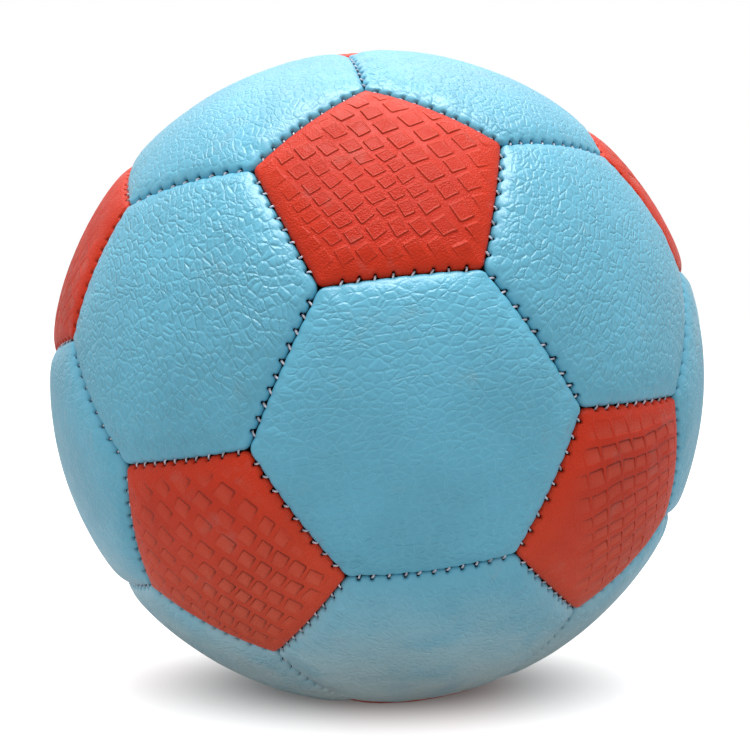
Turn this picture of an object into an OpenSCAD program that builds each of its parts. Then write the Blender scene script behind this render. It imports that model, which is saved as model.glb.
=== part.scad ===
// A sewn handball of 12 pentagon and 20 hexagon panels over a rubber bladder.
// The origin is the ball's centre, +Z is up, and the ball lies on its lowest point.

/* [Ball] */
// Diameter of the inflated ball, a girth of 550 mm
ball_d = 175; // [150:1:190]
// Share of the way between two neighbouring pentagon centres at which a pentagon has its corner
corner_share = 0.326; // [0.3:0.002:0.36]

/* [Lie] */
// Tip of the panel layout about X, in degrees
layout_tip = -8.4; // [-180:0.1:180]
// Roll of the panel layout about Y, in degrees
layout_roll = -6.4; // [-180:0.1:180]
// Turn of the panel layout about Z, in degrees
layout_turn = 5.8; // [-180:0.1:180]

/* [Panels] */
// Thickness of a panel's skin at its folded edges
skin_t = 1.6; // [1:0.1:2.1]
// Gap between the two folded edges of a seam
seam_gap = 0.4; // [0.3:0.1:0.8]
// Radius that an edge is rolled to along a pentagon
pentagon_edge_r = 2.5; // [2.3:0.1:2.7]
// Radius that an edge is rolled to between two hexagons, which is never quite the same
hexagon_edge_r = 2.8; // [2.75:0.05:3.2]
// How far the shoulders along a seam lie below the ball's sphere
shoulder_drop = 0.5; // [0.3:0.1:0.8]

/* [Backing] */
// Thickness of the foam behind a panel
foam_t = 1.8; // [1.4:0.1:3]
// Thickness of the cloth lining behind the foam
lining_t = 0.8; // [0.5:0.1:1.5]
// Clearance between one layer and the next
layer_gap = 0.1; // [0.05:0.05:0.2]

/* [Seams] */
// Distance from one stitch to the next
stitch_pitch = 3.4; // [2.8:0.1:4.5]
// Length of the thread that shows across the groove
stitch_w = 2.2; // [1.6:0.1:2.6]
// Diameter of the waxed thread
thread_d = 0.6; // [0.4:0.1:0.8]
// Bare length at each end of a seam, where three panels meet
seam_end = 2.6; // [2.4:0.1:4]
// Clearance between a thread and the skin that it lies on
thread_gap = 0.05; // [0.03:0.01:0.1]

/* [Bladder] */
// Wall thickness of the rubber bladder
bladder_t = 1; // [0.6:0.1:2]

/* [Valve] */
// Diameter of the valve seat's flange, under the panel
flange_d = 26; // [20:1:32]
// Thickness of the reinforcing patch between the skin and the valve seat
patch_t = 0.5; // [0.3:0.1:0.8]
// Diameter of the valve seat's tube, through panel and bladder
tube_d = 8.4; // [7.6:0.2:10]
// Length of the tube below the bladder's wall
tube_l = 15; // [12:1:24]
// Thickness of the tube's closed inner end
tube_end_t = 1.2; // [0.8:0.1:2]
// Depth of the valve's mouth below the ball's sphere
mouth_depth = 0.8; // [0.6:0.1:1.5]
// Diameter of the rubber plug in the tube
plug_d = 5.6; // [4.6:0.2:6.2]
// Diameter of the hole that takes the inflating needle
needle_d = 2.2; // [1.8:0.1:2.6]
// Depth of the needle's hole in the plug
needle_l = 12; // [8:1:14]

/* [Hidden] */
$fn = 96;
thread_fn = 24;

// Radii of the layers, from the ball's sphere inwards
ball_r = ball_d / 2;
shoulder_r = ball_r - shoulder_drop;
skin_in_r = shoulder_r - skin_t;
foam_r = skin_in_r - layer_gap;
foam_in_r = foam_r - foam_t;
lining_r = foam_in_r - layer_gap;
lining_in_r = lining_r - lining_t;
bladder_r = lining_in_r - layer_gap;
bladder_in_r = bladder_r - bladder_t;

// Distances of the layers' sides from the middle of a seam
skin_side = seam_gap / 2;
skin_in_side = skin_side + skin_t;
thread_side = skin_in_side + thread_gap + thread_d / 2;
backing_side = skin_in_side + thread_d + 2 * thread_gap;

// Radius at which the thread runs inside along the folds
fold_r = (foam_in_r + foam_r) / 2;

// Radius at which a stitch lies across the groove, its ends on edges rolled to a given radius
function stitch_r(edge_r) =
  shoulder_r - edge_r + sqrt(edge_r * edge_r - pow(skin_side + edge_r - stitch_w / 2, 2)) + thread_gap + thread_d / 2;

// The valve's levels along its axis, from the ball's centre
mouth_r = ball_r - mouth_depth;
tube_in_r = bladder_in_r - tube_l;
bore_in_r = tube_in_r + tube_end_t;
patch_r = skin_in_r - layer_gap;
patch_in_r = patch_r - patch_t;
flange_r = patch_in_r - layer_gap;
flange_in_r = bladder_r + layer_gap;
tube_hole_d = tube_d + 2 * layer_gap;
flange_hole_d = flange_d + 2 * layer_gap;
bore_d = plug_d + 2 * layer_gap;

// Directions of the 12 pentagon centres: two poles, and a ring of five about each
ring_lat = atan(1 / 2);
function direction(lon, lat) = [cos(lat) * cos(lon), cos(lat) * sin(lon), sin(lat)];
PENTAGONS = [
  direction(0, 90),
  for (k = [0:4]) direction(72 * k - 90, ring_lat),
  for (k = [0:4]) direction(72 * k - 54, -ring_lat),
  direction(0, -90)
];

// Two pentagons are neighbours if their centres are 63 degrees apart, whose cosine is 0.447
neighbour_cosine = 0.4;
function unit(v) = v / norm(v);
function neighbours(i, j) = i != j && PENTAGONS[i] * PENTAGONS[j] > neighbour_cosine;

// Each hexagon lies between three pentagons that are neighbours of one another
TRIADS = [
  for (i = [0:11]) for (j = [i + 1:11]) for (k = [j + 1:11])
    if (neighbours(i, j) && neighbours(j, k) && neighbours(i, k)) [i, j, k]
];
PAIRS = [for (i = [0:11]) for (j = [i + 1:11]) if (neighbours(i, j)) [i, j]];
VALVE_TRIAD = [3, 4, 8];
HEXAGONS = [for (t = TRIADS) if (t != VALVE_TRIAD) t];

// The corner of pentagon i that points to pentagon j
function corner(i, j) = unit(PENTAGONS[i] * (1 - corner_share) + PENTAGONS[j] * corner_share);

// The normal of the seam plane through corners a and b, pointing away from the panel's centre
function away(a, b, centre) = let (n = unit(cross(a, b))) n * centre > 0 ? -n : n;

// The two other pentagons of a triad that holds pentagon i
function others(t, i) = [for (m = t) if (m != i) m];
function triads_of(i) = [for (t = TRIADS) if (len(others(t, i)) == 2) t];

function triad_centre(t) = unit(PENTAGONS[t[0]] + PENTAGONS[t[1]] + PENTAGONS[t[2]]);

// The sides of a panel, each the normal of its seam plane and the radius of its rolled edge
function pentagon_sides(i) = [
  for (t = triads_of(i))
    let (o = others(t, i))
    [away(corner(i, o[0]), corner(i, o[1]), PENTAGONS[i]), pentagon_edge_r]
];
function hexagon_sides(t) = [
  for (i = t)
    let (o = others(t, i))
    each [
      [away(corner(i, o[0]), corner(i, o[1]), triad_centre(t)), pentagon_edge_r],
      [away(PENTAGONS[o[0]], PENTAGONS[o[1]], triad_centre(t)), hexagon_edge_r]
    ]
];

// The two end corners of each seam
PENTAGON_SEAMS = [
  for (i = [0:11]) for (t = triads_of(i)) let (o = others(t, i)) [corner(i, o[0]), corner(i, o[1])]
];
HEXAGON_SEAMS = [for (p = PAIRS) [corner(p[0], p[1]), corner(p[1], p[0])]];

function numbered(name, i) = str(name, "_", i < 10 ? "0" : "", i);

// Turns the panel layout to the way the ball lies
module as_it_lies() rotate([layout_tip, layout_roll, layout_turn]) children();

// Turns +Z to direction d, then about d
module aim(d, turn = 0) rotate([0, acos(d.z), atan2(d.y, d.x)]) rotate([0, 0, turn]) children();

// The turn about m, once +Z points along it, that lays +X along direction t
function turn_to(m, t) = let (
    lat = acos(m.z),
    lon = atan2(m.y, m.x),
    south = [cos(lat) * cos(lon), cos(lat) * sin(lon), -sin(lat)],
    east = [-sin(lon), cos(lon), 0]
  ) atan2(t * east, t * south);

// All that lies on the inner side of one seam, with its edge rolled down into the groove
module rolled_side(edge_r) {
  edge_axis_r = shoulder_r - edge_r;
  edge_axis_side = skin_side + edge_r;
  rotate_extrude() {
    translate([0, -ball_r]) square([edge_axis_r, ball_r - skin_side]);
    translate([0, -ball_r]) square([shoulder_r, ball_r - edge_axis_side]);
    translate([edge_axis_r, -edge_axis_side]) circle(edge_r);
  }
}

// All that lies further than a given distance inside one seam
module straight_side(side) translate([0, 0, -ball_r]) cylinder(r = ball_d, h = ball_r - side);

// A spherical layer between two radii, drawn in by a given distance from its seams
module layer(sides, outer_r, inner_r, side) difference() {
  intersection() {
    sphere(outer_r);
    intersection_for (s = sides) aim(s[0]) straight_side(side);
  }
  sphere(inner_r);
}

// A leather skin with its edges folded inwards along every seam, open behind for its backing
module skin(sides) difference() {
  intersection() {
    sphere(ball_r);
    intersection_for (s = sides) aim(s[0]) rolled_side(s[1]);
  }
  intersection() {
    sphere(skin_in_r);
    intersection_for (s = sides) aim(s[0]) straight_side(skin_in_side);
  }
  sphere(lining_in_r);
}

module foam(sides) layer(sides, foam_r, foam_in_r, backing_side);

module lining(sides) layer(sides, lining_r, lining_in_r, backing_side);

// A straight hole outwards through the layers, along the valve's axis
module valve_hole(d) aim(triad_centre(VALVE_TRIAD)) cylinder(d = d, h = ball_d);

module pentagon_panel(i) color("#c4492f") as_it_lies() skin(pentagon_sides(i));

module hexagon_panel(i) color("#7db4ca") as_it_lies() skin(hexagon_sides(HEXAGONS[i]));

module valve_panel() color("#7db4ca") as_it_lies() difference() {
  skin(hexagon_sides(VALVE_TRIAD));
  valve_hole(tube_hole_d);
}

module pentagon_foam_backings() color("#e9dfc6") as_it_lies() for (i = [0:11]) foam(pentagon_sides(i));

module hexagon_foam_backings() color("#e9dfc6") as_it_lies() {
  for (t = HEXAGONS) foam(hexagon_sides(t));
  difference() {
    foam(hexagon_sides(VALVE_TRIAD));
    valve_hole(flange_hole_d);
  }
}

module pentagon_cloth_linings() color("#f4f1e8") as_it_lies() for (i = [0:11]) lining(pentagon_sides(i));

module hexagon_cloth_linings() color("#f4f1e8") as_it_lies() {
  for (t = HEXAGONS) lining(hexagon_sides(t));
  difference() {
    lining(hexagon_sides(VALVE_TRIAD));
    valve_hole(flange_hole_d);
  }
}

// The stitches of one seam, and the runs of thread that join them inside along both folds
module seam_thread(ends, edge_r) {
  middle = unit(ends[0] + ends[1]);
  along = unit(ends[1] - ends[0]);
  seam_angle = acos(ends[0] * ends[1]);
  step = 2 * asin(stitch_pitch / ball_d);
  bare = 2 * asin(seam_end / ball_d);
  count = floor((seam_angle - 2 * bare) / step) + 1;
  reach = (count - 1) * step / 2;
  aim(middle, turn_to(middle, along)) {
    for (k = [0:count - 1])
      rotate([0, k * step - reach, 0]) translate([0, 0, stitch_r(edge_r)]) rotate([90, 0, 0])
        cylinder(d = thread_d, h = stitch_w, center = true, $fn = thread_fn);
    for (side = [-thread_side, thread_side])
      translate([0, side, 0]) rotate([90, 0, 0]) rotate([0, 0, 90 - reach])
        rotate_extrude(angle = 2 * reach, $fn = thread_fn) translate([fold_r, 0]) circle(d = thread_d);
  }
}

module pentagon_seam_threads() color("#d9d7cf") as_it_lies() {
  for (ends = PENTAGON_SEAMS) seam_thread(ends, pentagon_edge_r);
}

module hexagon_seam_threads() color("#d9d7cf") as_it_lies() {
  for (ends = HEXAGON_SEAMS) seam_thread(ends, hexagon_edge_r);
}

module bladder() color("#3a3a3c") as_it_lies() difference() {
  sphere(bladder_r);
  sphere(bladder_in_r);
  valve_hole(tube_hole_d);
}

// A disc that follows the ball's curve between two radii, about the valve's axis
module curved_disc(d, outer_r, inner_r) aim(triad_centre(VALVE_TRIAD)) difference() {
  intersection() {
    sphere(outer_r);
    cylinder(d = d, h = ball_r);
  }
  sphere(inner_r);
}

module valve_seat() color("#2b2b2d") as_it_lies() difference() {
  union() {
    curved_disc(flange_d, flange_r, flange_in_r);
    aim(triad_centre(VALVE_TRIAD)) translate([0, 0, tube_in_r]) cylinder(d = tube_d, h = mouth_r - tube_in_r);
  }
  aim(triad_centre(VALVE_TRIAD)) translate([0, 0, bore_in_r]) cylinder(d = bore_d, h = ball_r);
}

module valve_plug() color("#1f1f21") as_it_lies() aim(triad_centre(VALVE_TRIAD)) difference() {
  plug_in_r = bore_in_r + layer_gap;
  translate([0, 0, plug_in_r]) cylinder(d = plug_d, h = mouth_r - plug_in_r);
  translate([0, 0, mouth_r - needle_l]) cylinder(d = needle_d, h = ball_r);
}

module valve_patch() color("#8d8a80") as_it_lies() difference() {
  curved_disc(flange_d, patch_r, patch_in_r);
  valve_hole(tube_hole_d);
}

for (i = [0:11]) pentagon_panel(i);
for (i = [0:18]) hexagon_panel(i);
valve_panel();
pentagon_foam_backings();
hexagon_foam_backings();
pentagon_cloth_linings();
hexagon_cloth_linings();
pentagon_seam_threads();
hexagon_seam_threads();
bladder();
valve_seat();
valve_plug();
valve_patch();
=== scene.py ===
"""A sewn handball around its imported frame: leather panels, stitches, valve, floor and light.

All shapes are worked out in millimetres about the ball's centre, with +Z up, and scaled to metres at the end.
"""

import itertools
import math

import bpy
import numpy as np
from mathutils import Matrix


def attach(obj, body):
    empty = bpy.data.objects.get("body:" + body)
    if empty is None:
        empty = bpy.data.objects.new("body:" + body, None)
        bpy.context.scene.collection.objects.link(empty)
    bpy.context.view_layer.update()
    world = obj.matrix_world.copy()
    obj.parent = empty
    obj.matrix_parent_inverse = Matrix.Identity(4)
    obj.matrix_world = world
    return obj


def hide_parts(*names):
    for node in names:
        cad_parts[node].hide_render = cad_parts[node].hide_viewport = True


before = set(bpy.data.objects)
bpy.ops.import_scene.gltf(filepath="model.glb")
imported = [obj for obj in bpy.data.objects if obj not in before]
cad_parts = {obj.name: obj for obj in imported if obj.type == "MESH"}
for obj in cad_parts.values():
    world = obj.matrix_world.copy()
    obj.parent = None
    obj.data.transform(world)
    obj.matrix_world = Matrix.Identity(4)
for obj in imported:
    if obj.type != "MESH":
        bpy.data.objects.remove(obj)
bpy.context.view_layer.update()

MM = 0.001

# The part's own sizes, in millimetres. A side is a distance from a seam's plane. The face of the valve's panel starts
# VALVE_RIM_REACH outside the hole, beyond its rounded rim.
BALL_R = 87.5
SKIN_IN_R = 85.4
FOLD_IN_R = 82.6
SEAM_SIDE = 0.05
SKIN_IN_SIDE = 1.8
STITCH_PITCH = 3.4
SEAM_END = 2.6
THREAD_R = 0.23
THREAD_RUN_R = 84.4
THREAD_RUN_SIDE = 2.15
VALVE_HOLE_R = 4.3
VALVE_RIM_R = 0.7
VALVE_RIM_REACH = 0.8

# The layout: turns about X, Y and Z in degrees, and how far a corner lies between the centres of two pentagons
LAYOUT_TURNS = (-8.4, -6.4, 5.8)
CORNER_SHARE = 0.326

# Hexagons, named by the three pentagons round each: the valve's, the front's middle one, the smooth one at its left
VALVE_TRIAD = (3, 4, 8)
FRONT_TRIAD = (1, 6, 10)
SMOOTH_TRIAD = (5, 9, 10)

# How finely a panel is drawn
HEXAGON_RINGS = 56
PENTAGON_RINGS = 70
BACK_PER_SIDE = 14
VALVE_RINGS = 8
ROLL_RINGS = 6

# A panel sinks by EDGE_DROP towards its seams, over about EDGE_RUN, and then rolls down into the groove. Even rings of
# points end EDGE_BAND inside the shoulder, where the roll starts, and closer ones lie at EDGE_LEVELS.
CORNER_R = 1.3
EDGE_DROP = 1.05
EDGE_RUN = 2.3
EDGE_R = 1.6
EDGE_TILT = math.atan(EDGE_DROP / EDGE_RUN)
SHOULDER_SIDE = SEAM_SIDE + EDGE_R * (1 - math.sin(EDGE_TILT))
EDGE_BAND = 2.2
EDGE_LEVELS = (1.55, 1.0, 0.5, 0.0)

# Stitches: how far along the seam a notch and a hollow reach, a notch's depth on the farther and the nearer panel, and
# a stitch's way over the groove, as distances across the seam and heights over the sunken edge. It slants only within
# STITCH_SLANT_SIDE of the seam.
NOTCH_REACH = 0.42
HOLLOW_REACH = 0.8
NOTCH_DEPTHS = (0.9, 0.25)
STITCH_ACROSS = (-0.95, -0.55, -0.08, 0.5, 0.9)
STITCH_HEIGHTS = (-1.6, -0.95, -0.6, -0.85, -1.7)
STITCH_SLANT_SIDE = 0.6

# Heights of the relief, in millimetres
TILE_HEIGHT = 0.16
RED_PUCKERS = 0.08
BLUE_PUCKERS = 0.17
BLUE_FINE_PUCKERS = 0.05
RED_HOLLOW = 0.05
BLUE_HOLLOW = 0.16
EDGE_WELT = 0.05
SWELL = 0.1
SMALL_SWELL = 0.04

# A tile's rounded corners and the width of its bevel, in shares of its cell
TILE_ROUND = 0.11
TILE_BEVEL = 0.08


# ---------------------------------------------------------------- layout of the panels


def unit(v):
    """v at length 1."""
    return v / np.linalg.norm(v, axis=-1, keepdims=True)


def turned(tip, roll, turn):
    """The matrix that turns about X by tip, then about Y by roll, then about Z by turn, in degrees."""
    result = np.eye(3)
    for angle, (a, b) in ((tip, (1, 2)), (roll, (2, 0)), (turn, (0, 1))):
        step = np.eye(3)
        step[a, a] = step[b, b] = math.cos(math.radians(angle))
        step[b, a] = math.sin(math.radians(angle))
        step[a, b] = -step[b, a]
        result = step @ result
    return result


def direction(lon, lat):
    """The unit vector at a longitude and latitude in degrees."""
    lon, lat = math.radians(lon), math.radians(lat)
    return (math.cos(lat) * math.cos(lon), math.cos(lat) * math.sin(lon), math.sin(lat))


RING_LAT = math.degrees(math.atan(0.5))
PENTAGONS = np.array(
    [direction(0, 90)]
    + [direction(72 * k - 90, RING_LAT) for k in range(5)]
    + [direction(72 * k - 54, -RING_LAT) for k in range(5)]
    + [direction(0, -90)]
) @ turned(*LAYOUT_TURNS).T


def neighbours(i, j):
    """Whether two pentagons are neighbours, whose centres are 63 degrees apart."""
    return i != j and PENTAGONS[i] @ PENTAGONS[j] > 0.4


TRIADS = [t for t in itertools.combinations(range(12), 3) if all(neighbours(*p) for p in itertools.combinations(t, 2))]
HEXAGONS = [t for t in TRIADS if t != VALVE_TRIAD]


def corner(i, j):
    """The corner of pentagon i that points to pentagon j, at CORNER_SHARE of the chord between their centres."""
    return unit(PENTAGONS[i] * (1 - CORNER_SHARE) + PENTAGONS[j] * CORNER_SHARE)


def in_order(centre, corners):
    """The corners in turn about the centre, anticlockwise from outside, starting with the first given.

    Angles wrap a hair below a full turn, so that rounding can't send the first corner to the end.
    """
    x = unit(corners[0] - (corners[0] @ centre) * centre)
    y = np.cross(centre, x)
    return corners[np.argsort(np.arctan2(corners @ y, corners @ x) % (2 * math.pi - 1e-6))]


def pentagon(i):
    """Centre and corners of a pentagon panel."""
    corners = np.array([corner(i, j) for j in range(12) if neighbours(i, j)])
    return PENTAGONS[i], in_order(PENTAGONS[i], corners)


def hexagon(triad):
    """Centre and corners of a hexagon panel, its first side along a pentagon."""
    centre = unit(PENTAGONS[list(triad)].sum(0))
    corners = in_order(centre, np.array([corner(i, j) for i, j in itertools.permutations(triad, 2)]))
    nearest = np.argmax(corners @ PENTAGONS[list(triad)].T, axis=1)
    return centre, corners if nearest[0] == nearest[1] else np.roll(corners, -1, 0)


# Every seam once: its end corners, those along a pentagon first
PENTAGON_SEAMS = 60
SEAM_ENDS = np.array(
    [ends for i in range(12) for ends in zip(pentagon(i)[1], np.roll(pentagon(i)[1], -1, 0))]
    + [(corner(i, j), corner(j, i)) for i, j in itertools.combinations(range(12), 2) if neighbours(i, j)]
)
SEAM_MIDDLE = unit(SEAM_ENDS.sum(1))
SEAM_ALONG = unit(SEAM_ENDS[:, 1] - SEAM_ENDS[:, 0])
SEAM_ACROSS = np.cross(SEAM_MIDDLE, SEAM_ALONG)

# The place on the ball where the sewing began
SEWN_FIRST = direction(-90, 5)


# ---------------------------------------------------------------- repeatable chance and noise


def chance(seed, *cells):
    """A repeatable number from 0 to 1 for each whole-number cell.

    Each of its numbers is mixed in with an exclusive or, a large odd factor and a shift.
    """
    mixed = np.full(np.broadcast(*cells).shape, (seed * 2654435761 + 97) % 2**32, np.uint32)
    for cell in cells:
        mixed = (mixed ^ (np.asarray(cell) + 2**20).astype(np.uint32)) * np.uint32(2246822519)
        mixed ^= mixed >> np.uint32(15)
        mixed *= np.uint32(3266489917)
        mixed ^= mixed >> np.uint32(13)
    return mixed / 2.0**32


def ease(x):
    """0 below 0, 1 above 1, and x * x * (3 - 2 * x) between."""
    x = np.clip(x, 0, 1)
    return x * x * (3 - 2 * x)


def drift(seed, *places):
    """Smooth noise from -1 to 1: the chances at the cell corners round a place, blended by ease."""
    low = [np.floor(p) for p in places]
    part = [ease(p - f) for p, f in zip(places, low)]
    total = 0
    for ends in itertools.product((0, 1), repeat=len(places)):
        weight = 1
        for end, share in zip(ends, part):
            weight = weight * (share if end else 1 - share)
        total = total + weight * chance(seed, *(f + end for f, end in zip(low, ends)))
    return total * 2 - 1


# ---------------------------------------------------------------- meshes


def zipper(a, per_a, b, per_b, sides):
    """Triangles between two closed rings of points, the first at index a and the second at index b.

    Each ring has its own number of points to a side. Each edge of one ring joins the point of the other that is level
    with its middle. A ring with none is one point.
    """
    if per_a == 0 or per_b == 0:
        per, ring = (per_b, b) if per_a == 0 else (per_a, a)
        j = np.arange(sides * per)
        edge = ring + j, ring + (j + 1) % (sides * per)
        point = np.full_like(j, a if per_a == 0 else b)
        return np.stack((point, *edge) if per_a == 0 else (edge[0], point, edge[1]), 1)
    to_a = np.floor((np.arange(per_b) + 0.5) * per_a / per_b + 0.5).astype(int)
    to_b = np.searchsorted(to_a, np.arange(per_a), side="right")
    k = np.arange(sides)[:, None]
    near = lambda j: a + (k * per_a + j) % (sides * per_a)
    far = lambda j: b + (k * per_b + j) % (sides * per_b)
    j, i = np.arange(per_b), np.arange(per_a)
    first = np.stack((near(to_a), far(j), far(j + 1)), -1).reshape(-1, 3)
    second = np.stack((near(i), far(to_b), near(i + 1)), -1).reshape(-1, 3)
    return np.concatenate((first, second))


def make_piece(name, points, faces, finish, smooth=True, attributes=None):
    """A mesh object from points in millimetres, with its finish and its named attributes."""
    mesh = bpy.data.meshes.new(name)
    points = np.asarray(points, np.float32) * MM
    faces = np.asarray(faces, np.int32)
    sides = faces.shape[1]
    mesh.vertices.add(len(points))
    mesh.vertices.foreach_set("co", points.ravel())
    mesh.loops.add(faces.size)
    mesh.loops.foreach_set("vertex_index", faces.ravel())
    mesh.polygons.add(len(faces))
    mesh.polygons.foreach_set("loop_start", np.arange(0, faces.size, sides, dtype=np.int32))
    mesh.polygons.foreach_set("use_smooth", np.broadcast_to(smooth, len(faces)).astype(bool))
    for label, values in (attributes or {}).items():
        kind, field = ("FLOAT", "value") if values.ndim == 1 else ("FLOAT_VECTOR", "vector")
        made = mesh.attributes.new(label, kind, "POINT")
        made.data.foreach_set(field, values.astype(np.float32).ravel())
    mesh.update(calc_edges=True)
    mesh.validate()
    mesh.materials.append(finish)
    piece = bpy.data.objects.new(name, mesh)
    bpy.context.scene.collection.objects.link(piece)
    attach(piece, "root")
    return piece


# ---------------------------------------------------------------- one panel's form, centre along +Z


class PanelForm:
    """The points and faces of a panel before its relief, its centre along +Z and its first corner towards +X.

    A point has a bearing about the centre and an angle out from it. Rings of points run from the centre over the face,
    round the rolled edge, down the fold and back under the skin to the centre, so the skin is one closed shell. With a
    valve, the rings start at the valve's hole instead, and end there.
    """

    def __init__(self, centre, corners, rings, valve=False):
        self.frame = self.frame_of(centre, corners)
        self.corners = corners @ self.frame
        ends = self.corners, np.roll(self.corners, -1, 0)
        self.sides = len(corners)
        self.middle = unit(ends[0] + ends[1])
        self.along = unit(ends[1] - ends[0])
        self.away = -np.cross(self.middle, self.along)
        self.away *= -np.sign(self.away[:, 2:])
        self.rows = []
        self.faces = []
        self.count = 0
        self.build(rings, valve)
        for label, part in zip(("bearing", "out", "radius", "roll", "fold"), zip(*self.rows)):
            setattr(self, label, np.concatenate(part))
        self.faces = np.concatenate(self.faces)
        self.place = self.at(self.bearing, self.out)
        self.seam, self.seam_x = self.seam_distances(self.place)
        self.inside = self.rounded(self.seam) - SHOULDER_SIDE
        short = np.maximum(CORNER_R - self.seam, 0)
        short[np.arange(len(short)), self.seam.argmin(1)] += 1e-6
        outward = short @ self.away
        outward -= (outward * self.place).sum(1, keepdims=True) * self.place
        self.normal = np.cos(self.roll)[:, None] * self.place + np.sin(self.roll)[:, None] * unit(outward)

    @staticmethod
    def frame_of(centre, corners):
        """The panel's own axes as columns: +X towards its first corner and +Z along its centre."""
        x = unit(corners[0] - (corners[0] @ centre) * centre)
        return np.stack((x, np.cross(centre, x), centre), 1)

    @staticmethod
    def at(bearing, out):
        """The direction at a bearing about +Z and an angle out from it."""
        return np.stack((np.sin(out) * np.cos(bearing), np.sin(out) * np.sin(bearing), np.cos(out)), -1)

    def seam_distances(self, place):
        """Distances inwards from each seam's plane, and along it from its middle, as arcs on the ball."""
        return (
            -BALL_R * np.arcsin(np.clip(place @ self.away.T, -1, 1)),
            BALL_R * np.arctan2(place @ self.along.T, place @ self.middle.T),
        )

    @staticmethod
    def rounded(seam):
        """The distance inwards from the nearest seam, its level lines rounded at the corners by CORNER_R."""
        short = np.maximum(CORNER_R - seam, 0)
        return np.where(seam.min(1) >= CORNER_R, seam.min(1), CORNER_R - np.sqrt((short**2).sum(1)))

    def bearings(self, per_side):
        """Bearings of points that cut each side's arc into equal parts."""
        share = (np.arange(per_side) / per_side)[None, :, None]
        a, b = self.corners[:, None], np.roll(self.corners, -1, 0)[:, None]
        angle = np.arccos((a * b).sum(-1, keepdims=True))
        w = (np.sin((1 - share) * angle) * a + np.sin(share * angle) * b) / np.sin(angle)
        return np.arctan2(w[..., 1], w[..., 0]).ravel()

    def reach(self, bearing, level):
        """The angle out at which the rounded seam distance has come down to a level, by halving a bracket 30 times."""
        low, high = np.zeros_like(bearing), np.full_like(bearing, 0.6)
        for _ in range(30):
            half = (low + high) / 2
            within = self.rounded(self.seam_distances(self.at(bearing, half))[0]) > level
            low, high = np.where(within, half, low), np.where(within, high, half)
        return low

    def ring(self, per_side, bearing, out, radius, roll=0.0, fold=0.0):
        """Adds a ring of points and joins it to the one before."""
        full = lambda value: np.broadcast_to(np.asarray(value, float), bearing.shape).copy()
        self.rows.append((bearing, full(out), full(radius), full(roll), full(fold)))
        if self.count:
            self.faces.append(zipper(self.last, self.last_per, self.count, per_side, self.sides))
        self.last, self.last_per = self.count, per_side
        self.count += len(bearing)

    def build(self, rings, valve):
        """All the rings in turn: face, shoulder, rolled edge, fold and back."""
        first = VALVE_RINGS if valve else 0
        hole = VALVE_HOLE_R / BALL_R
        if valve:
            round_hole = self.bearings(first)
            for radius in (SKIN_IN_R, SKIN_IN_R + 0.4, BALL_R - 0.9):
                self.ring(first, round_hole, hole, radius, fold=1.0)
            for turn in np.radians((30, 60)):
                out = hole + VALVE_RIM_R * (1 - math.cos(turn)) / BALL_R
                self.ring(first, round_hole, out, BALL_R - VALVE_RIM_R + 0.5 * math.sin(turn))
            hole += VALVE_RIM_REACH / BALL_R
        else:
            self.ring(0, np.zeros(1), 0.0, BALL_R)
        for i in range(max(first, 1), rings + 1):
            bearing = self.bearings(i)
            edge = self.reach(bearing, SHOULDER_SIDE + EDGE_BAND)
            out = hole + (edge - hole) * (i - first) / (rings - first) if valve else edge * i / rings
            self.ring(i, bearing, out, BALL_R)
        fine = 3 * rings
        bearing = self.bearings(fine)
        for level in EDGE_LEVELS:
            self.ring(fine, bearing, self.reach(bearing, SHOULDER_SIDE + level), BALL_R)
        for roll in np.linspace(EDGE_TILT, math.pi / 2, ROLL_RINGS + 1)[1:]:
            out = self.reach(bearing, SEAM_SIDE + EDGE_R * (1 - math.sin(roll)))
            radius = BALL_R - EDGE_R * (math.cos(EDGE_TILT) - math.cos(roll))
            self.ring(fine, bearing, out, radius, roll)
        self.ring(fine, bearing, out, radius - 0.7, math.pi / 2, 0.5)
        self.ring(fine, bearing, out, FOLD_IN_R, math.pi / 2, 1.0)
        back = BACK_PER_SIDE
        bearing = self.bearings(back)
        out = self.reach(bearing, SKIN_IN_SIDE)
        self.ring(back, bearing, out, FOLD_IN_R, fold=1.0)
        self.ring(back, bearing, out, SKIN_IN_R, fold=1.0)
        for i in range(back - 1, first if valve else 0, -1):
            bearing = self.bearings(i)
            edge = self.reach(bearing, SKIN_IN_SIDE)
            hole = VALVE_HOLE_R / BALL_R
            out = hole + (edge - hole) * (i - first) / (back - first) if valve else edge * i / back
            self.ring(i, bearing, out, SKIN_IN_R, fold=1.0)
        if valve:
            self.faces.append(zipper(self.last, self.last_per, 0, first, self.sides))
        else:
            self.ring(0, np.zeros(1), 0.0, SKIN_IN_R, fold=1.0)


# ---------------------------------------------------------------- stitches and their holes


def stitches_of(seam):
    """For each stitch of a seam: its place along the seam, its slant and its strength, partly by chance."""
    angle = math.acos(SEAM_ENDS[seam, 0] @ SEAM_ENDS[seam, 1])
    step = 2 * math.asin(STITCH_PITCH * (0.9 + 0.24 * chance(14, seam, 0)) / (2 * BALL_R))
    bare = 2 * math.asin(SEAM_END / (2 * BALL_R))
    count = math.floor((angle - 2 * bare) / step) + 1
    k = np.arange(count)
    even = (k - (count - 1) / 2) * step * BALL_R
    place = even + 0.6 * drift(15, k / 2.3, 7.0 * seam) + 0.3 * (chance(11, k, seam) - 0.5)
    slant = 0.6 + 0.7 * (chance(12, k, seam) - 0.5)
    return place, slant, 0.75 + 0.5 * chance(13, k, seam)


def outer_sign(seam):
    """The sign, along a seam's cross direction, of the panel farther from the place that was sewn first."""
    return -np.sign(SEAM_ACROSS[seam] @ SEWN_FIRST)


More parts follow.
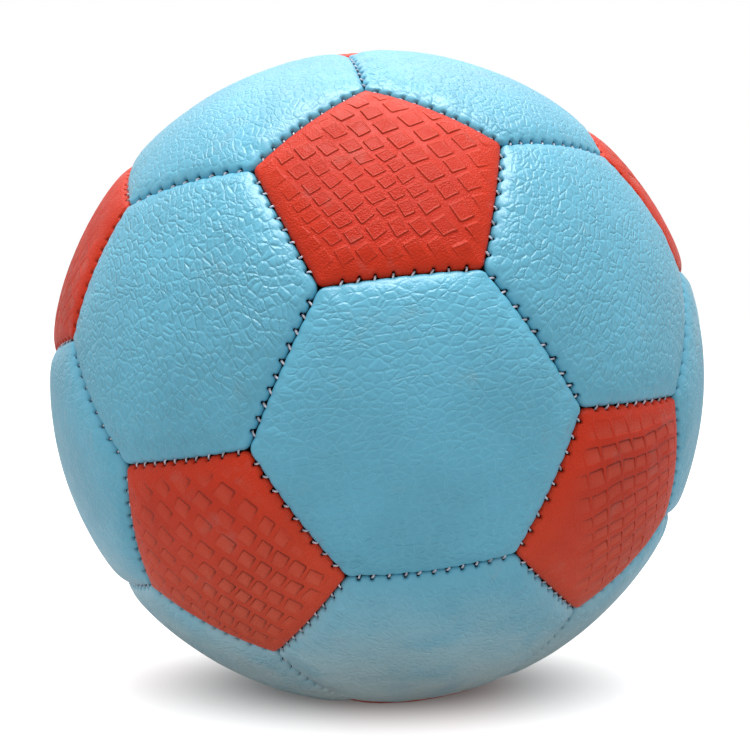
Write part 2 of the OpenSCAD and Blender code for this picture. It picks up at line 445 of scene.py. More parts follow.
def stitch_dent(form, frame_now, soft):
    """How far each point of a panel is drawn in by the stitches, in millimetres, and where the needle's holes are.

    A stitch cuts a notch in the wall of the groove, which falls off along the seam as exp(-(distance / reach) ** 1.6).
    It is deep on the panel farther from the place sewn first and shallow on the other. A hollow of depth soft goes on
    over the shoulder, as exp(-(distance / reach) ** 2) along the seam and exp(-distance) into the panel. Each hole is
    half the stitch's slant to the side of its place.
    """
    dent = np.zeros(len(form.place))
    hole = np.zeros(len(form.place))
    shoulder = soft * np.exp(-np.maximum(form.inside, 0))
    for side in range(form.sides):
        middle = form.middle[side] @ frame_now.T
        seam = int(np.argmax(SEAM_MIDDLE @ middle))
        near = np.flatnonzero(form.seam[:, side] < 9)  # farther in, a hollow is too shallow to see
        sense = np.sign(form.along[side] @ frame_now.T @ SEAM_ALONG[seam])
        flank = np.sign(-form.away[side] @ frame_now.T @ SEAM_ACROSS[seam])
        outer = flank == outer_sign(seam)
        place, slant, strength = stitches_of(seam)
        gap = sense * form.seam_x[near, side][:, None] - (place + flank * slant / 2)
        roll = form.roll[near]
        deep, shallow = NOTCH_DEPTHS
        wall = deep * ease((roll - EDGE_TILT + 0.1) / 0.45) if outer else shallow * ease((roll - 1.15) / 0.3)
        notch = (strength * np.exp(-((np.abs(gap) / NOTCH_REACH) ** 1.6))).max(1)
        hollow = (strength * np.exp(-((gap / HOLLOW_REACH) ** 2))).max(1)
        dent[near] = np.maximum(dent[near], wall * notch + shoulder[near] * hollow)
        if outer:
            round_hole = np.exp(-((gap / NOTCH_REACH) ** 2)).max(1)
            hole[near] = np.maximum(hole[near], round_hole * ease((roll - 0.55) / 0.25))
    return dent, hole


def tubes(paths, radius, sides):
    """Tubes of one radius along many paths at once, their ends closed by a fan of triangles.

    paths is an array of paths, each of the same number of points. A ring's plane is square to the path there.
    """
    paths = np.asarray(paths)
    n, m, _ = paths.shape
    run = unit(np.gradient(paths, axis=1))
    up = unit(paths)
    flat = unit(np.cross(run, up))
    up = np.cross(flat, run)
    turn = np.arange(sides) * 2 * math.pi / sides
    rings = (
        paths[:, :, None]
        + radius * np.cos(turn)[None, None, :, None] * flat[:, :, None]
        + radius * np.sin(turn)[None, None, :, None] * up[:, :, None]
    )
    points = np.concatenate((rings.reshape(n, -1, 3), paths[:, [0]], paths[:, [-1]]), 1)
    j = np.arange(sides)
    k = np.arange(m - 1)[:, None]
    a, b = k * sides + j, k * sides + (j + 1) % sides
    wall = np.concatenate([np.stack(t, -1).reshape(-1, 3) for t in ((a, b, b + sides), (a, b + sides, a + sides))])
    last = (m - 1) * sides
    start = np.stack((np.full_like(j, m * sides), (j + 1) % sides, j), 1)
    end = np.stack((np.full_like(j, m * sides + 1), last + j, last + (j + 1) % sides), 1)
    one = np.concatenate((wall, start, end))
    faces = one[None] + (np.arange(n) * points.shape[1])[:, None, None]
    return points.reshape(-1, 3), faces.reshape(-1, 3)


def seam_threads(name, node, seams, finish):
    """The stitches of many seams and the two runs of thread behind each.

    A stitch rises from its hole on one side, passes over the groove and goes down into its hole on the outer side,
    through five points. A run follows the seam at a set distance to its side.
    """
    paths, runs = [], []
    for seam in seams:
        place, slant, strength = stitches_of(seam)
        across = np.array(STITCH_ACROSS) * outer_sign(seam)
        x = (place[:, None] + np.clip(across / STITCH_SLANT_SIDE, -1, 1)[None] * slant[:, None] / 2) / BALL_R
        round_seam = lambda a: np.cos(a)[..., None] * SEAM_MIDDLE[seam] + np.sin(a)[..., None] * SEAM_ALONG[seam]
        towards = unit(round_seam(x) + across[None, :, None] / BALL_R * SEAM_ACROSS[seam])
        lift = np.array(STITCH_HEIGHTS)[None] + 0.16 * (strength[:, None] - 1)
        paths.append(towards * (BALL_R - EDGE_DROP + lift)[..., None])
        along = np.linspace(place[0], place[-1], 10) / BALL_R
        for side in (-THREAD_RUN_SIDE, THREAD_RUN_SIDE):
            runs.append(round_seam(along) * THREAD_RUN_R + side * SEAM_ACROSS[seam])
    stitch_points, stitch_faces = tubes(np.concatenate(paths), THREAD_R, 7)
    run_points, run_faces = tubes(np.array(runs), THREAD_R, 6)
    piece = make_piece(
        name,
        np.concatenate((stitch_points, run_points)),
        np.concatenate((stitch_faces, run_faces + len(stitch_points))),
        finish,
    )
    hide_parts(node)


# ---------------------------------------------------------------- relief of the leather


def puckers(form, seed, wave, slow):
    """Wrinkles square to the seams, strongest a few millimetres inside them and gone further in.

    Each seam adds noise that is wave millimetres long along it and slow millimetres long across it, leaning to and fro.
    """
    total = np.zeros(len(form.place))
    for side in range(form.sides):
        inside = form.seam[:, side] - SHOULDER_SIDE
        lean = 0.9 * drift(seed + 7, form.seam_x[:, side] / 9, inside / 9 + side)
        ridge = drift(seed + side, form.seam_x[:, side] / wave + lean, inside / slow)
        total += ridge * ease((inside - 0.3) / 2.6) * np.exp(-np.maximum(inside - 2.6, 0) / 4.2)
    return total


def swell(place, seed, size):
    """Noise over the ball with cells of a given size in millimetres."""
    return drift(seed, *(place * BALL_R / size + 40).T)


def tile_height(tiles, tile_form, tile_tilt):
    """The height of a grip tile as a share of its depth, 0 between tiles.

    It is the rounded-box distance in a cell, eased over TILE_BEVEL, times a level that rises or falls across the cell.
    """
    u, v, _ = tiles.T
    half_u, half_v, stagger = tile_form.T
    row = np.floor(u)
    right = u - row - 0.5
    up = (v + stagger * row) % 1 - 0.5
    x = np.abs(right) - half_u + TILE_ROUND
    y = np.abs(up) - half_v + TILE_ROUND
    distance = np.hypot(np.maximum(x, 0), np.maximum(y, 0)) + np.minimum(np.maximum(x, y), 0) - TILE_ROUND
    return ease(-distance / TILE_BEVEL) * (tile_tilt[:, 0] * right + tile_tilt[:, 1] * up + tile_tilt[:, 2])


def blocks(east, north):
    """Raised tiles like blocks in a running bond, closest in the middle, with columns of long ones at the right.

    This and the next two give, at a place in millimetres east and north of a panel's centre, the two tile coordinates,
    a tile's half sizes, the stagger from column to column, the depth, and the level's tilt to the right, up and rest.
    """
    s, t = 0.82 * east + 0.57 * north, 0.545 * east - 0.84 * north
    u = s / 4.1 - 0.04 * (s - 4 + np.sqrt((s - 4) ** 2 + 9))
    long = u >= 1
    v = np.where(long, (t - 2.5) / 5.4 + 0.3 * np.floor(u), 2.8 * np.arcsinh((t - 2.5) / 9.6))
    half_v = 0.385 + 0.025 * np.exp(-(((t - 2) / 6) ** 2))
    return u, v, np.where(long, 0.37, 0.41), half_v + 0.03 * long, -0.4, 1.0, (0.0, 0.0, 1.0)


def scales(east, north):
    """Sunken cells like fish scales in staggered rows, closer and deeper to the lower right."""
    s, t = 0.64 * east + 0.77 * north, 0.77 * east - 0.64 * north
    v = t / 6.2 + 0.044 * (t - 3 + np.sqrt((t - 3) ** 2 + 9))
    return s / 5.2, v, 0.405, 0.35 + 0.06 * ease((t - 2) / 6), 0.5, -0.8 - 0.6 * ease((t + 7) / 14), (1.0, 0.4, 0.7)


def lattice(east, north):
    """Sunken cells in slanted columns and in rows that rise to the right, more steeply lower down; flat at the left."""
    u = (0.92 * east + 0.39 * north + 1.2) / 4.6
    v = (0.95 * north - (0.3 - 0.012 * north) * east) / 4.3
    return u, v, 0.455, 0.37, 0.0, -1.1 * ease((u + 3.4) / 2.4), (0.0, 1.0, 0.7)


# The kind of tiles on a pentagon and their turn in degrees; the others take theirs in turn and by chance
TILE_KINDS = {1: (blocks, 0), 10: (scales, 0), 6: (lattice, 0)}


def tiles_of(form, frame_now, number):
    """Tile coordinates and depth, half sizes and stagger, and tilt at each point of a pentagon, as named attributes.

    They come from its own east and north, turned and a little uneven. Tiles fade out towards the seams.
    """
    kind, turn = TILE_KINDS.get(number, ((blocks, scales, lattice)[number % 3], 360 * chance(41, np.array(number))))
    place = form.place @ frame_now.T
    centre = frame_now[:, 2]
    east = unit(np.cross((0, 0, 1), centre))
    north = np.cross(centre, east)
    turn = math.radians(float(turn))
    x, y = BALL_R * (place @ east), BALL_R * (place @ north)
    x, y = math.cos(turn) * x + math.sin(turn) * y, math.cos(turn) * y - math.sin(turn) * x
    x = x + 0.5 * drift(number + 51, x / 6, y / 6)
    y = y + 0.5 * drift(number + 52, x / 6, y / 6)
    u, v, half_u, half_v, stagger, depth, tilt = kind(x, y)
    uneven = 0.035 * drift(number + 53, x / 3.5, y / 3.5)
    fade = ease((form.inside - 0.6) / 4.5) * depth * (0.85 + 0.3 * drift(number + 54, x / 6, y / 6))
    whole = np.ones(len(x))
    return {
        "tiles": np.stack((u, v, fade), 1),
        "tile_form": np.stack((half_u * whole + uneven, half_v * whole - uneven, stagger * whole), 1),
        "tile_tilt": np.array(tilt) * whole[:, None],
    }


# Seeds of the hexagons start at 100. The grain's turn in degrees on one, by chance on the others, and a share of it.
HEXAGON_SEED = 100
VALVE_SEED = 140
GRAIN_LEANS = {HEXAGON_SEED + HEXAGONS.index(FRONT_TRIAD): 14}
GRAIN_SHARES = {HEXAGON_SEED + HEXAGONS.index(SMOOTH_TRIAD): 0.45}


def net_places(form, frame_now, seed):
    """Flat places in millimetres for the grain of a panel: its own east and north, turned, the first drawn together.

    Each panel's places are moved far from the others', so that no two panels have the same grain.
    """
    place = BALL_R * form.place @ frame_now.T
    east = unit(np.cross((0, 0, 1), frame_now[:, 2]))
    north = np.cross(frame_now[:, 2], east)
    lean = math.radians(GRAIN_LEANS.get(seed, 180 * float(chance(61, np.array(seed)))))
    along = math.cos(lean) * east + math.sin(lean) * north
    across = math.cos(lean) * north - math.sin(lean) * east
    flat = np.stack((place @ along / 1.45, place @ across, np.zeros(len(place))), 1)
    return flat + (53.0 * (seed % 50), 31.0 * (seed % 50), 0.0)


def make_panel(name, node, form, centre, corners, finish, slot, seed, tiled=False):
    """One panel: its form turned to its place, with its relief, and the attributes that its finish reads.

    inset   distance inside the shoulder of the nearest seam, in millimetres, negative on the rolled edge
    groove  0 on the face to 0.9 where the fold starts, and more down the fold
    hole    1 at a needle's hole
    grain   strength of the pebble grain
    net     places for the pebble grain; a tiled panel has the attributes of tiles_of instead
    """
    frame_now = PanelForm.frame_of(centre, corners)
    place, normal = form.place @ frame_now.T, form.normal @ frame_now.T
    outer = form.fold < 1
    dent, hole = stitch_dent(form, frame_now, RED_HOLLOW if tiled else BLUE_HOLLOW)
    edge = np.exp(-np.maximum(form.inside, 0) / 1.2)
    low = 1 - form.fold
    face = ease((form.inside + 0.4) / 2)
    sunk = np.exp(-np.maximum(form.seam - SHOULDER_SIDE, 0) / EDGE_RUN)
    pillow = -EDGE_DROP * (1 - np.prod(1 - sunk, axis=1)) * outer
    height = -dent * low + EDGE_WELT * edge * low
    if tiled:
        height += RED_PUCKERS * puckers(form, seed, 3.2, 9)
        tiling = tiles_of(form, frame_now, seed)
        height += TILE_HEIGHT * tiling["tiles"][:, 2] * tile_height(*tiling.values())
    else:
        height += BLUE_PUCKERS * puckers(form, seed, 2.3, 8) + BLUE_FINE_PUCKERS * puckers(form, seed + 60, 1.2, 4)
    height += face * (SWELL * swell(place, seed, 14) + SMALL_SWELL * swell(place, seed + 80, 5))
    valve_face = 1
    if form.last_per == VALVE_RINGS:
        valve_face = ease((form.out * BALL_R - VALVE_HOLE_R - VALVE_RIM_REACH) / 4)
    points = place * (form.radius + pillow)[:, None] + normal * (height * outer * valve_face)[:, None]
    strength = (0.75 + 0.5 * chance(21, np.array(seed))) * (0.7 + 0.3 * ease((centre[2] + 0.7) / 0.5))
    strength *= GRAIN_SHARES.get(seed, 1.0)
    attributes = {
        "inset": form.inside - 3 * form.fold,
        "groove": form.roll / (math.pi / 2) * 0.9 + form.fold,
        "hole": hole,
        "grain": strength * ease((form.inside + 0.6) / 3),
    }
    if tiled:
        attributes |= tiling
    else:
        attributes["net"] = net_places(form, frame_now, seed)
    piece = make_piece(name, points, form.faces, finish, form.fold[form.faces].max(1) < 0.9, attributes)
    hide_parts(node)


# ---------------------------------------------------------------- finishes


class Finish:
    """A material of one Principled shader, with short calls that add its nodes and link them."""

    def __init__(self, name, **sockets):
        self.material = bpy.data.materials.new(name)
        self.material.use_nodes = True
        self.tree = self.material.node_tree
        self.shader = self.tree.nodes["Principled BSDF"]
        self.put(self.shader, sockets)

    def put(self, node, sockets):
        """Sets or links inputs of a node by their names."""
        for name, value in sockets.items():
            socket = node.inputs[name if isinstance(name, int) else name.replace("_", " ")]
            if isinstance(value, bpy.types.NodeSocket):
                self.tree.links.new(value, socket)
            else:
                socket.default_value = value

    def add(self, kind, sockets, **settings):
        """A new node of a kind, its settings and inputs set."""
        node = self.tree.nodes.new("ShaderNode" + kind)
        for name, value in settings.items():
            setattr(node, name, value)
        self.put(node, sockets)
        return node

    def math(self, operation, *values):
        """A Math node's result."""
        return self.add("Math", dict(enumerate(values)), operation=operation).outputs[0]

    def attribute(self, name, output="Fac"):
        """A named attribute of the mesh."""
        return self.add("Attribute", {}, attribute_name=name).outputs[output]

    def place(self):
        """Object coordinates in millimetres."""
        coordinates = self.add("TexCoord", {}).outputs["Object"]
        return self.add("VectorMath", {0: coordinates, "Scale": 1 / MM}, operation="SCALE").outputs[0]

    def noise(self, place, size, detail=2.0, rough=0.5):
        """Noise from about 0 to 1 with features of a size in millimetres."""
        sockets = {"Vector": place, "Scale": 1 / size, "Detail": detail, "Roughness": rough}
        return self.add("TexNoise", sockets).outputs[0]

    def bent(self, place, size, by):
        """Places moved by noise of a size, by up to a length, both in millimetres."""
        colour = self.add("TexNoise", {"Vector": place, "Scale": 1 / size, "Detail": 1.0}).outputs["Color"]
        offset = self.add("VectorMath", {0: colour, 1: (0.5, 0.5, 0.5)}, operation="SUBTRACT").outputs[0]
        offset = self.add("VectorMath", {0: offset, "Scale": 2 * by}, operation="SCALE").outputs[0]
        return self.add("VectorMath", {0: place, 1: offset}, operation="ADD").outputs[0]

    def cells(self, place, size, feature="DISTANCE_TO_EDGE", flat=False):
        """Voronoi cells of a size in millimetres: distance to the cell's edge or its middle, in cells."""
        kind = {"feature": feature, "voronoi_dimensions": "2D" if flat else "3D"}
        return self.add("TexVoronoi", {"Vector": place, "Scale": 1 / size}, **kind).outputs["Distance"]

    def ramp(self, value, low, high, start=0.0, end=1.0):
        """start below low, end above high, and eased between."""
        sockets = {0: value, 1: low, 2: high, 3: start, 4: end}
        return self.add("MapRange", sockets, interpolation_type="SMOOTHSTEP").outputs[0]

    def blend(self, share, a, b, kind="MIX"):
        """A colour between a and b, or a multiplied by b."""
        return self.add("Mix", {0: share, 6: a, 7: b}, data_type="RGBA", blend_type=kind).outputs[2]

    def bump(self, height, scale=1.0):
        """A bump of height in millimetres times scale."""
        return self.add("Bump", {"Height": height, "Distance": MM * scale}).outputs[0]


def leather_wear_and_shade(finish, place, colour, dark):
    """The colour with uneven dye and dull marks, and painted shade: near black down the grooves of the seams and at the
    needles' holes.
    """
    tone = finish.ramp(finish.noise(place, 22, 3), 0.3, 0.7, 0.93, 1.05)
    colour = finish.blend(1.0, colour, finish.add("CombineColor", {0: tone, 1: tone, 2: tone}).outputs[0], "MULTIPLY")
    marks = finish.math("MULTIPLY", finish.ramp(finish.noise(place, 9, 5, 0.65), 0.56, 0.74), 0.16)
    colour = finish.blend(marks, colour, (0.30, 0.29, 0.26, 1))
    # Painted shade: near black where the seams' grooves and the needles' holes lie in shadow.
    groove = finish.ramp(finish.attribute("groove"), 0.68, 0.96)
    hole = finish.ramp(finish.attribute("hole"), 0.35, 0.75)
    return finish.blend(finish.math("MAXIMUM", groove, hole), colour, dark)


def blue_leather():
    """Pearly light blue leather: low pebbles with a painted highlight on their lips and painted shade in the creases
    between, soft gloss, paler grey lower down.
    """
    finish = Finish("blue_pearl_leather", Specular_IOR_Level=0.5, Coat_Weight=0.15, Coat_Roughness=0.28)
    place = finish.place()
    # The pale blue is a painted highlight on the pebbles' lips.
    blue, pale = (0.104, 0.41, 0.57, 1), (0.165, 0.55, 0.71, 1)
    # The crease blue is painted shade in the creases; the near black is painted shade in the grooves and needle holes.
    crease_shade_blue, low_pale_grey, groove_shade_black = (0.06, 0.29, 0.45, 1), (0.74, 0.78, 0.71, 1), (0.012, 0.016, 0.02, 1)
    net = finish.bent(finish.bent(finish.attribute("net", "Vector"), 4.5, 1.0), 1.4, 0.25)
    edge = finish.cells(net, 1.65, flat=True)
    small = finish.cells(net, 0.85, flat=True)
    grain = finish.attribute("grain")
    strong = finish.math("MULTIPLY", finish.ramp(finish.noise(place, 3.2, 2), 0.34, 0.6, 0.45, 1.0), grain)
    where = finish.math("MULTIPLY", finish.ramp(finish.noise(place, 5, 2), 0.38, 0.62, 0.15, 1.0), grain)
    pebble = finish.math("MULTIPLY", finish.ramp(edge, 0.0, 0.28), strong)
    crease = finish.math("MULTIPLY", finish.ramp(edge, 0.0, 0.1, 1.0, 0.0), strong)
    knob = finish.math("MULTIPLY", finish.ramp(small, 0.0, 0.3), where)
    height = finish.math("MULTIPLY", pebble, 0.15)
    height = finish.math("MULTIPLY_ADD", crease, -0.04, height)
    height = finish.math("MULTIPLY_ADD", knob, 0.06, height)
    height = finish.math("MULTIPLY_ADD", finish.noise(place, 0.45, 3), 0.035, height)
    # Painted highlight: the pebbles' lips are coloured a paler blue.
    painted_lip = finish.math("MULTIPLY", finish.ramp(edge, 0.08, 0.2, 1.0, 0.0), strong)
    colour = finish.blend(finish.math("MULTIPLY", painted_lip, 0.55), blue, pale)
    # Painted shade: the creases are coloured a darker blue.
    colour = finish.blend(finish.math("MULTIPLY", crease, 0.45), colour, crease_shade_blue)
    # Paler and greyer towards the bottom, in patches.
    low = finish.ramp(finish.add("SeparateXYZ", {0: place}).outputs[2], -85, -28, 0.55, 0.0)
    paler_share = finish.math("MULTIPLY", low, finish.ramp(finish.noise(place, 14, 4, 0.6), 0.3, 0.6, 0.7, 1.3))
    colour = finish.blend(paler_share, colour, low_pale_grey)
    rough = finish.ramp(finish.noise(place, 5, 4), 0.3, 0.7, 0.31, 0.4)
    finish.put(
        finish.shader,
        {
            "Base Color": leather_wear_and_shade(finish, place, colour, groove_shade_black),
            "Roughness": finish.math("MULTIPLY_ADD", crease, 0.1, rough),
            "Normal": finish.bump(height),
        },
    )
    return finish.material


def red_leather():
    """Matte red leather: grip tiles, raised or sunken, with crisp bevels over a very fine grain; sunken ones duller.

    The tiles follow tile_height's formula again, in nodes, so that their bevels are finer than the mesh.
    """
    finish = Finish("red_tile_leather", Specular_IOR_Level=0.16)
    place = finish.place()
    red, ground_red, rim_wear_and_highlight_red, side_red = (
        (0.52, 0.026, 0.008, 1), (0.60, 0.036, 0.018, 1), (0.70, 0.11, 0.07, 1), (0.62, 0.034, 0.008, 1)
    )
    cell_red, deep_shade_red, lip_shade_red = (0.64, 0.13, 0.08, 1), (0.45, 0.045, 0.025, 1), (0.20, 0.009, 0.004, 1)
    low_painted_light_red, groove_shade_black = (0.95, 0.22, 0.12, 1), (0.02, 0.008, 0.007, 1)
    tiles = finish.add("SeparateXYZ", {0: finish.attribute("tiles", "Vector")}).outputs
    form = finish.add("SeparateXYZ", {0: finish.attribute("tile_form", "Vector")}).outputs
    tilt = finish.add("SeparateXYZ", {0: finish.attribute("tile_tilt", "Vector")}).outputs
    row = finish.math("FLOOR", tiles[0])
    right = finish.math("SUBTRACT", finish.math("SUBTRACT", tiles[0], row), 0.5)
    up = finish.math("SUBTRACT", finish.math("FRACT", finish.math("MULTIPLY_ADD", form[2], row, tiles[1])), 0.5)
    level = finish.math("MULTIPLY_ADD", tilt[0], right, finish.math("MULTIPLY_ADD", tilt[1], up, tilt[2]))
    deep = finish.ramp(level, 0.4, 1.1)
    deepest = finish.ramp(level, 0.8, 1.1)
    level = finish.math("MULTIPLY", level, tiles[2])
    x = finish.math("ADD", finish.math("SUBTRACT", finish.math("ABSOLUTE", right), form[0]), TILE_ROUND)
    y = finish.math("ADD", finish.math("SUBTRACT", finish.math("ABSOLUTE", up), form[1]), TILE_ROUND)
    far_x, far_y = finish.math("MAXIMUM", x, 0.0), finish.math("MAXIMUM", y, 0.0)
    outside = finish.math(
        "SQRT", finish.math("ADD", finish.math("MULTIPLY", far_x, far_x), finish.math("MULTIPLY", far_y, far_y))
    )
    distance = finish.math("ADD", outside, finish.math("MINIMUM", finish.math("MAXIMUM", x, y), 0.0))
    distance = finish.math("SUBTRACT", distance, TILE_ROUND)
    tile = finish.ramp(distance, -TILE_BEVEL, 0.0, 1.0, 0.0)
    tile = finish.math("MULTIPLY", tile, level)
    rim = finish.math("ABSOLUTE", finish.math("ADD", distance, TILE_BEVEL))
    rim = finish.math("MULTIPLY", finish.ramp(rim, 0.0, 0.06, 1.0, 0.0), level)
    micro = finish.cells(place, 0.42, "F1")
    side = finish.ramp(finish.attribute("inset"), 1.0, 9.0, 1.0, 0.0)
    rough_patch = finish.ramp(finish.noise(place, 8, 2), 0.4, 0.62, 0.5, 1.0)
    rough_patch = finish.math("MAXIMUM", rough_patch, side)
    height = finish.math("MULTIPLY", tile, 0.3)
    height = finish.math("MULTIPLY_ADD", rim, 0.12, height)
    fine = finish.math("MULTIPLY", finish.ramp(micro, 0.0, 0.8, 1.0, 0.0), rough_patch)
    height = finish.math("MULTIPLY_ADD", fine, 0.1, height)
    height = finish.math("MULTIPLY_ADD", finish.noise(place, 1.6, 3), 0.06, height)
    raised = finish.math("MAXIMUM", rim, 0.0)
    sunken = finish.math("MAXIMUM", finish.math("MULTIPLY", tile, -1.0), 0.0)
    ground = finish.math("SUBTRACT", finish.math("MAXIMUM", tiles[2], 0.0), finish.math("MAXIMUM", tile, 0.0))
    colour = finish.blend(finish.math("MULTIPLY", ground, 0.45), red, ground_red)
    # Paler tile rims: partly wear, partly a painted highlight.
    colour = finish.blend(finish.math("MULTIPLY", raised, 0.5), colour, rim_wear_and_highlight_red)
    colour = finish.blend(finish.math("MULTIPLY", side, 0.7), colour, side_red)
    # Painted shade: a sunken cell is coloured darker towards its deep side.
    cell = finish.blend(deep, cell_red, deep_shade_red)
    colour = finish.blend(finish.math("MULTIPLY", sunken, 0.6), colour, cell)
    # Painted shade: a dark band along the deep edge of a sunken cell, under its lip.
    painted_lip = finish.math("MULTIPLY", deepest, finish.ramp(tiles[2], -0.6, -0.1, 1.0, 0.0))
    line = finish.math("ABSOLUTE", finish.math("ADD", distance, 0.06))
    painted_lip = finish.math("MULTIPLY", painted_lip, finish.ramp(line, 0.0, 0.09, 0.6, 0.0))
    colour = finish.blend(painted_lip, colour, lip_shade_red)
    # Painted light: the red turns lighter and more orange towards the bottom.
    paler_share = finish.ramp(finish.add("SeparateXYZ", {0: place}).outputs[2], -75, 5, 0.3, 0.0)
    colour = finish.blend(paler_share, colour, low_painted_light_red)
    rough = finish.ramp(finish.noise(place, 4, 4), 0.3, 0.7, 0.44, 0.56)
    finish.put(
        finish.shader,
        {
            "Base Color": leather_wear_and_shade(finish, place, colour, groove_shade_black),
            "Roughness": finish.math("MULTIPLY_ADD", side, -0.1, rough),
            "Normal": finish.bump(height),
        },
    )
    return finish.material


def thread():
    """Waxed pale thread: slanted ply lines and short fibres."""
    finish = Finish("waxed_thread", Roughness=0.55)
    place = finish.place()
    wave = {"Vector": place, "Scale": 1.1, "Distortion": 1.5}
    ply = finish.add("TexWave", wave, bands_direction="DIAGONAL").outputs[1]
    tone = finish.noise(place, 2.5, 3)
    finish.put(
        finish.shader,
        {
            "Base Color": finish.blend(finish.ramp(tone, 0.3, 0.7), (0.40, 0.40, 0.46, 1), (0.76, 0.75, 0.84, 1)),
            "Normal": finish.bump(finish.math("MULTIPLY_ADD", ply, 0.08, finish.math("MULTIPLY", tone, 0.03))),
        },
    )
    return finish.material


def foam():
    """Pale cream foam: small open pores of two sizes, with painted shade in the larger ones."""
    finish = Finish("cream_foam", Roughness=0.9)
    place = finish.place()
    pores = finish.ramp(finish.cells(place, 0.7, "F1"), 0.1, 0.6)
    small = finish.ramp(finish.cells(place, 0.3, "F1"), 0.1, 0.6)
    both = finish.math("MULTIPLY_ADD", small, 0.4, pores)
    finish.put(
        finish.shader,
        {
            # Painted shade: the larger pores are coloured darker.
            "Base Color": finish.blend(pores, (0.45, 0.38, 0.26, 1), (0.78, 0.71, 0.54, 1)),
            "Normal": finish.bump(both, 0.15),
        },
    )
    return finish.material


def cloth():
    """Off-white plain-weave cloth: crossing threads as two sine waves, and slight stains."""
    finish = Finish("lining_cloth", Roughness=0.85)
    place = finish.place()
    part = finish.add("SeparateXYZ", {0: place}).outputs
    warp = finish.math("SINE", finish.math("MULTIPLY", finish.math("ADD", part[0], part[2]), 7.0))
    weft = finish.math("SINE", finish.math("MULTIPLY", finish.math("SUBTRACT", part[1], part[2]), 7.0))
    weave = finish.math("MULTIPLY", warp, weft)
    stain = finish.ramp(finish.noise(place, 12, 3), 0.4, 0.7)
    finish.put(
        finish.shader,
        {
            "Base Color": finish.blend(stain, (0.82, 0.80, 0.73, 1), (0.70, 0.67, 0.58, 1)),
            "Normal": finish.bump(weave, 0.08),
        },
    )
    return finish.material


def rubber(name, dark, pale, gloss):
    """Moulded rubber: mottled tone, fine grain and talc dust."""
    finish = Finish(name)
    place = finish.place()
    paler_share = finish.ramp(finish.noise(place, 6, 5, 0.6), 0.45, 0.75)
    finish.put(
        finish.shader,
        {
            "Base Color": finish.blend(paler_share, dark, pale),
            "Roughness": finish.math("MULTIPLY_ADD", paler_share, 0.2, gloss),
            "Normal": finish.bump(finish.noise(place, 0.5, 3), 0.05),
        },
    )
    return finish.material


def floor_finish():
    """A pale studio floor: matt paint, lifted to white for the camera away from the ball, whose shadow it keeps."""
    finish = Finish("white_floor", Roughness=1.0, Specular_IOR_Level=0.0)
    place = finish.place()
    tone = finish.ramp(finish.noise(place, 60, 2), 0.3, 0.7, 0.44, 0.46)
    seen = finish.add("LightPath", {}).outputs["Is Camera Ray"]
    far = finish.add("VectorMath", {0: place, 1: (0.45, 1, 0)}, operation="MULTIPLY").outputs[0]
    far = finish.add("VectorMath", {0: far}, operation="LENGTH").outputs["Value"]
    finish.put(
        finish.shader,
        {
            "Base Color": finish.add("CombineColor", {0: tone, 1: tone, 2: tone}).outputs[0],
            "Emission Color": (1, 1, 1, 1),
            # The lift fades out towards the ball over an ellipse, wider across than deep; the darker floor there is
            # partly the ball's own shadow, partly a painted shadow.
            "Emission Strength": finish.math("MULTIPLY", seen, finish.ramp(far, 10, 42, 0.03, 0.95)),
        },
    )
    return finish.material


# ---------------------------------------------------------------- the ball's pieces

BLUE, RED, THREAD = blue_leather(), red_leather(), thread()

pentagon_form = PanelForm(*pentagon(0), PENTAGON_RINGS)
hexagon_form = PanelForm(*hexagon(HEXAGONS[0]), HEXAGON_RINGS)
valve_form = PanelForm(*hexagon(VALVE_TRIAD), HEXAGON_RINGS, valve=True)

for i in range(12):
    name = f"pentagon_panel_{i + 1:02d}"
    make_panel(f"{name}_leather", name, pentagon_form, *pentagon(i), RED, "red_leather", i, tiled=True)
for i, triad in enumerate(HEXAGONS):
    name = f"hexagon_panel_{i + 1:02d}"
    make_panel(f"{name}_leather", name, hexagon_form, *hexagon(triad), BLUE, "blue_leather", HEXAGON_SEED + i)
valve_panel = hexagon(VALVE_TRIAD)
make_panel("valve_panel_leather", "valve_panel", valve_form, *valve_panel, BLUE, "blue_leather", VALVE_SEED)

seam_threads("pentagon_seam_stitches", "pentagon_seam_threads", range(PENTAGON_SEAMS), THREAD)
seam_threads("hexagon_seam_stitches", "hexagon_seam_threads", range(PENTAGON_SEAMS, len(SEAM_ENDS)), THREAD)

# The inner pieces are the CAD ones, with finishes of their own
VALVE_RUBBER = rubber("valve_black_rubber", (0.018, 0.018, 0.02, 1), (0.05, 0.05, 0.052, 1), 0.45)
FOAM, CLOTH = foam(), cloth()
CARRIED = {
    "pentagon_foam_backings": FOAM,
    "pentagon_cloth_linings": CLOTH,
    "bladder": rubber("bladder_rubber", (0.035, 0.035, 0.04, 1), (0.16, 0.16, 0.16, 1), 0.5),
    "valve_seat": VALVE_RUBBER,
    "valve_plug": rubber("plug_rubber", (0.012, 0.012, 0.013, 1), (0.035, 0.035, 0.036, 1), 0.38),
    "valve_patch": rubber("patch_cloth", (0.30, 0.29, 0.26, 1), (0.42, 0.41, 0.37, 1), 0.7),
    "hexagon_foam_backings": FOAM,
    "hexagon_cloth_linings": CLOTH,
}
for node, finish in CARRIED.items():
    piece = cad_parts[node]
    piece.data.materials.clear()
    piece.data.materials.append(finish)


# ---------------------------------------------------------------- floor, light and camera

FLOOR_HALF = 3000.0
floor_mesh = bpy.data.meshes.new("studio_floor")
floor_corners = np.array([(x, y, -BALL_R) for x, y in ((-1, -1), (1, -1), (1, 1), (-1, 1))], float)
floor_corners[:, :2] *= FLOOR_HALF
floor_mesh.from_pydata((floor_corners * MM).tolist(), [], [(0, 1, 2, 3)])
floor_mesh.materials.append(floor_finish())
floor = bpy.data.objects.new("studio_floor", floor_mesh)
bpy.context.scene.collection.objects.link(floor)


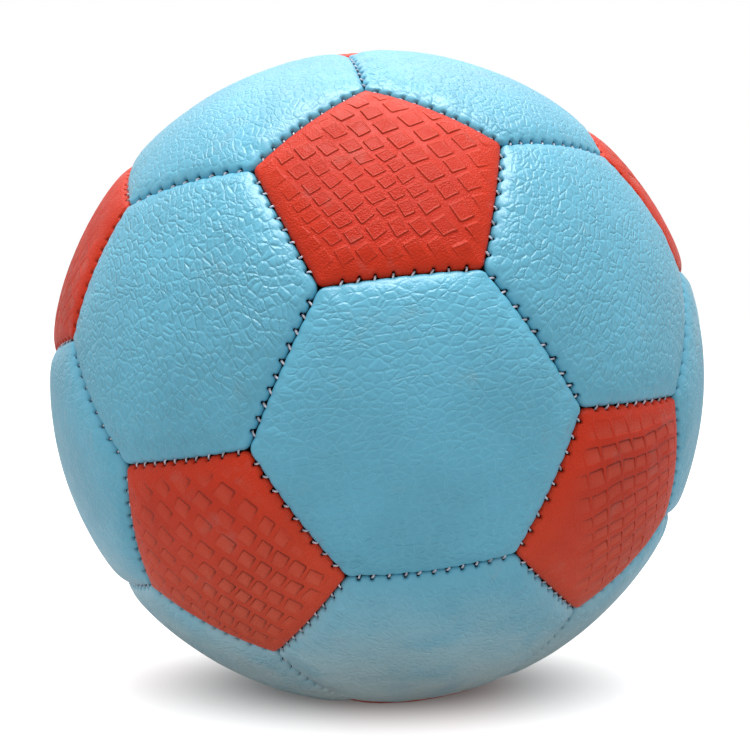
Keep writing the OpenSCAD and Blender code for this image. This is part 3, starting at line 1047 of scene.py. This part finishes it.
def soft_light(name, place, size, watts):
    """A white area light of a width and depth, at a place in metres, that faces the ball."""
    lamp = bpy.data.lights.new(name, "AREA")
    lamp.shape = "RECTANGLE"
    lamp.size, lamp.size_y = size
    lamp.energy = watts
    holder = bpy.data.objects.new(name, lamp)
    holder.location = place
    holder.rotation_euler = (-holder.location).to_track_quat("-Z", "Y").to_euler()
    holder.visible_camera = False
    bpy.context.scene.collection.objects.link(holder)


soft_light("overhead_softbox", (-0.005, -0.06, 0.80), (0.55, 0.42), 7.1)
soft_light("back_softbox", (-0.04, 0.50, 0.68), (0.7, 0.4), 1.1)

# The surroundings light the ball at WORLD_LIGHT and are white for the camera
WORLD_LIGHT = 0.82
world = bpy.data.worlds.new("studio")
bpy.context.scene.world = world
world.use_nodes = True
background = world.node_tree.nodes["Background"]
path = world.node_tree.nodes.new("ShaderNodeLightPath")
strength = world.node_tree.nodes.new("ShaderNodeMapRange")
strength.inputs[3].default_value, strength.inputs[4].default_value = WORLD_LIGHT, 1.0
world.node_tree.links.new(path.outputs["Is Camera Ray"], strength.inputs[0])
world.node_tree.links.new(strength.outputs[0], background.inputs["Strength"])
background.inputs["Color"].default_value = (1, 1, 1, 1)

# The photograph's width, the ball's outline radius and its middle in it, in pixels, and the camera's distance in radii
FRAME_PX = 750
BALL_PX = 327.2
BALL_MIDDLE_PX = (377.0, 377.2)
CAMERA_RADII = 3.35
CAMERA_ELEVATION = math.radians(5)
SENSOR_MM = 36
camera = bpy.data.cameras.new("camera")
camera.sensor_width = SENSOR_MM
camera.lens = SENSOR_MM * BALL_PX * math.sqrt(CAMERA_RADII**2 - 1) / FRAME_PX
camera.shift_x = (FRAME_PX / 2 - BALL_MIDDLE_PX[0]) / FRAME_PX
camera.shift_y = (BALL_MIDDLE_PX[1] - FRAME_PX / 2) / FRAME_PX
holder = bpy.data.objects.new("camera", camera)
distance = CAMERA_RADII * BALL_R * MM
holder.location = (0, -distance * math.cos(CAMERA_ELEVATION), distance * math.sin(CAMERA_ELEVATION))
holder.rotation_euler = (math.pi / 2 - CAMERA_ELEVATION, 0, 0)
bpy.context.scene.collection.objects.link(holder)
bpy.context.scene.camera = holder
bpy.context.scene.view_settings.view_transform = "Standard"
